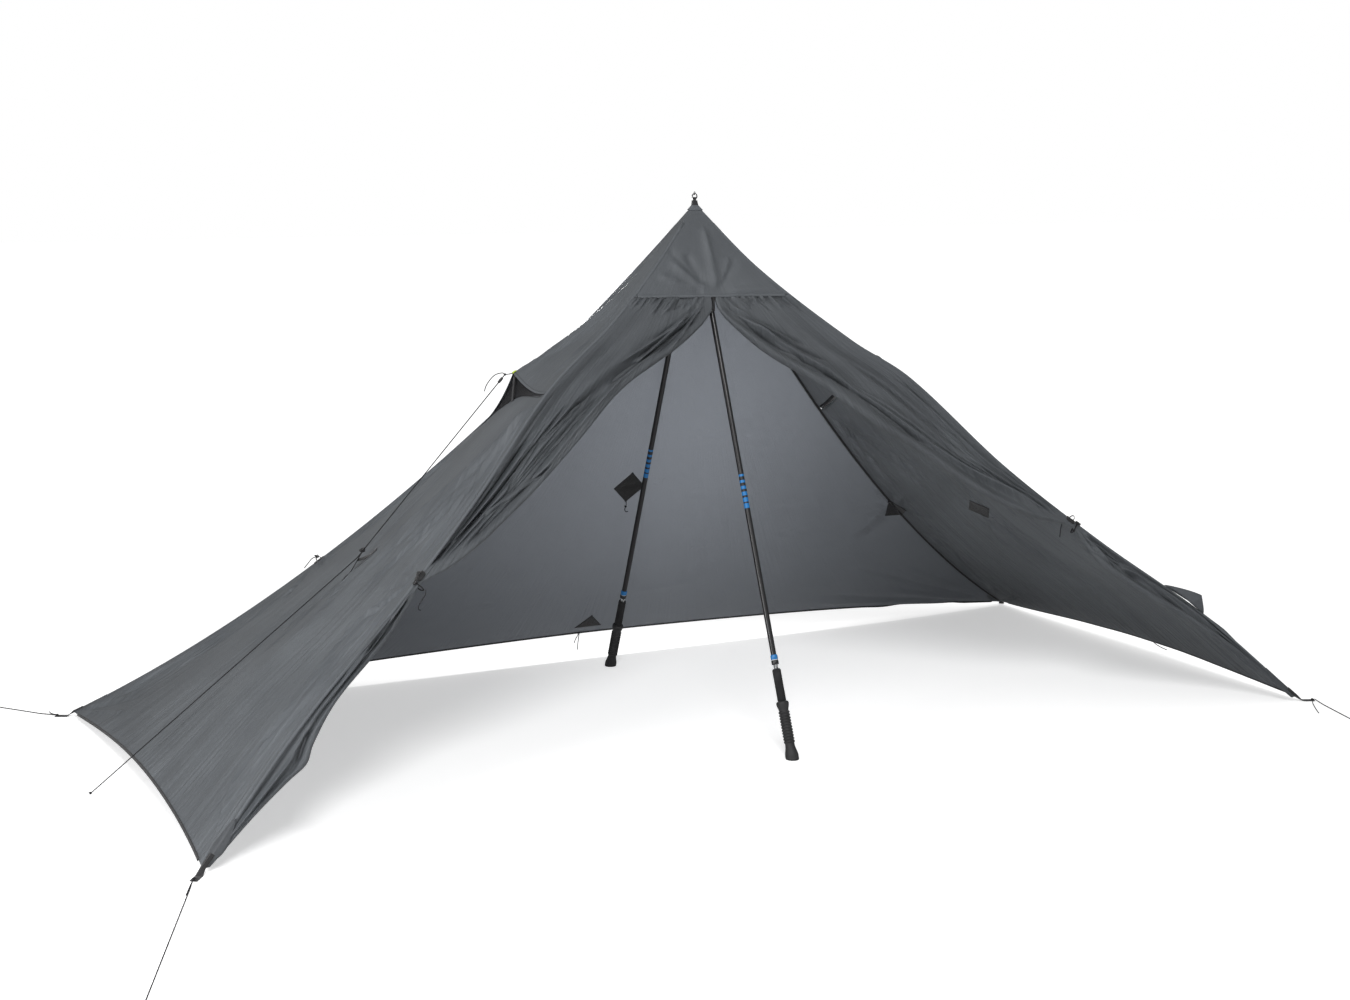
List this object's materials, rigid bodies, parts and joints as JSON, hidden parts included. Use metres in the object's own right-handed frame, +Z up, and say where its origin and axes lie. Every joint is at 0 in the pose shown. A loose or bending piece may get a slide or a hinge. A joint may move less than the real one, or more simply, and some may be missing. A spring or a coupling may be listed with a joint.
{
  "type": "pyramid tarp shelter",
  "caption": "Low pyramid tarp with a gathered open door, hooded side vents, black tie-outs and guylines, standing on folding trekking poles.",
  "frame": {"origin": "on the ground, straight below the peak", "axes": "+Z up, -Y out through the door, +X to the right of someone who looks in through the door"},
  "size_m": [3.2619, 2.0872, 1.3279],
  "materials": {
    "canopy_cloth": "thin coated grey ripstop",
    "black_tape": "matt woven tape",
    "black_webbing": "matt woven webbing",
    "black_mesh": "fine netting",
    "black_cord": "braided cord",
    "black_plastic": "satin",
    "black_rubber": "matt",
    "black_foam": "matt closed-cell foam",
    "carbon": "glossy carbon tube",
    "silver": "bright"
  },
  "bodies": {
    "canopy": {"door_top_seam": "black_tape", "front_left_corner_tie_out": "black_webbing", "front_left_guyline": "black_cord", "front_left_ridge_tape": "black_tape", "front_left_ridge_tie_out": "black_webbing", "front_right_corner_tie_out": "black_webbing", "front_right_guyline": "black_cord", "front_right_ridge_tape": "black_tape", "front_right_ridge_tie_out": "black_webbing", "front_upper_panel": "canopy_cloth", "left_door_flap": "canopy_cloth", "left_door_tie": "black_cord", "left_hem_binding": "black_tape", "left_side_inner_patch": "black_webbing", "left_side_panel": "canopy_cloth", "left_side_tie_out": "black_webbing", "left_vent_guyline": "black_cord", "left_vent_hood": "canopy_cloth", "left_vent_mesh": "black_mesh", "peak_cap": "black_webbing", "pole_cup": "black_webbing", "rear_hem_binding": "black_tape", "rear_hem_patch": "black_webbing", "rear_left_corner_tie_out": "black_webbing", "rear_left_guyline": "black_cord", "rear_left_inner_patch": "black_webbing", "rear_left_ridge_tape": "black_tape", "rear_left_ridge_tie_out": "black_webbing", "rear_mid_patch": "black_webbing", "rear_panel": "canopy_cloth", "rear_right_corner_tie_out": "black_webbing", "rear_right_inner_patch": "black_webbing", "rear_right_ridge_tape": "black_tape", "rear_right_ridge_tie_out": "black_webbing", "right_door_flap": "canopy_cloth", "right_door_tie": "black_cord", "right_hem_binding": "black_tape", "right_side_inner_patch": "black_webbing", "right_side_panel": "canopy_cloth", "right_side_tie_out": "black_webbing", "right_vent_guyline": "black_cord", "right_vent_hood": "canopy_cloth", "right_vent_mesh": "black_mesh"},
    "front_pole": {"front_pole_shaft": "carbon", "front_pole_collar": "black_plastic", "front_pole_tube": "silver"},
    "front_grip": {"front_pole_grip": "black_rubber", "front_pole_foam": "black_foam"},
    "front_button": {"front_pole_button": "silver"},
    "rear_pole": {"rear_pole_shaft": "carbon", "rear_pole_collar": "black_plastic", "rear_pole_tube": "silver"},
    "rear_grip": {"rear_pole_grip": "black_rubber", "rear_pole_foam": "black_foam"},
    "rear_button": {"rear_pole_button": "silver"},
    "left_strut": {"left_vent_strut": "black_plastic"},
    "right_strut": {"right_vent_strut": "black_plastic"},
    "ring": {"peak_ring": "black_plastic", "peak_hang_loop": "black_cord"},
    "pull": {"zip_pull": "black_plastic"}
  },
  "joints": [
    {"name": "front_pole_swing", "type": "hinge", "parent": "canopy", "child": "front_pole", "pos_m": [0, -0.012, 1.236], "axis": [0, 1, 0], "range_deg": [-8, 8]},
    {"name": "front_grip_slide", "type": "slide", "parent": "front_pole", "child": "front_grip", "axis": [0, 0.3724, 0.9281], "range_m": [0, 0.002]},
    {"name": "front_button_press", "type": "slide", "parent": "front_pole", "child": "front_button", "axis": [0, 0.9281, -0.3724], "range_m": [0, 0.002], "stiffness_N_per_m": 150, "springref_m": -0.002},
    {"name": "rear_pole_swing", "type": "hinge", "parent": "canopy", "child": "rear_pole", "pos_m": [0, 0.012, 1.236], "axis": [0, 1, 0], "range_deg": [-8, 8]},
    {"name": "rear_grip_slide", "type": "slide", "parent": "rear_pole", "child": "rear_grip", "axis": [0, -0.3724, 0.9281], "range_m": [0, 0.002]},
    {"name": "rear_button_press", "type": "slide", "parent": "rear_pole", "child": "rear_button", "axis": [0, 0.9281, 0.3724], "range_m": [0, 0.002], "stiffness_N_per_m": 150, "springref_m": -0.002},
    {"name": "left_strut_fold", "type": "hinge", "parent": "canopy", "child": "left_strut", "pos_m": [-0.4895, 0, 0.8985], "axis": [0, 1, 0], "range_deg": [0, 30]},
    {"name": "right_strut_fold", "type": "hinge", "parent": "canopy", "child": "right_strut", "pos_m": [0.4895, 0, 0.8888], "axis": [0, -1, 0], "range_deg": [0, 30]},
    {"name": "ring_tip", "type": "hinge", "parent": "canopy", "child": "ring", "pos_m": [0, 0, 1.3095], "axis": [1, 0, 0], "range_deg": [-50, 50]},
    {"name": "zip_pull_swing", "type": "hinge", "parent": "canopy", "child": "pull", "pos_m": [0, -0.10298, 1.07116], "axis": [1, 0, 0], "range_deg": [-70, 3]}
  ]
}
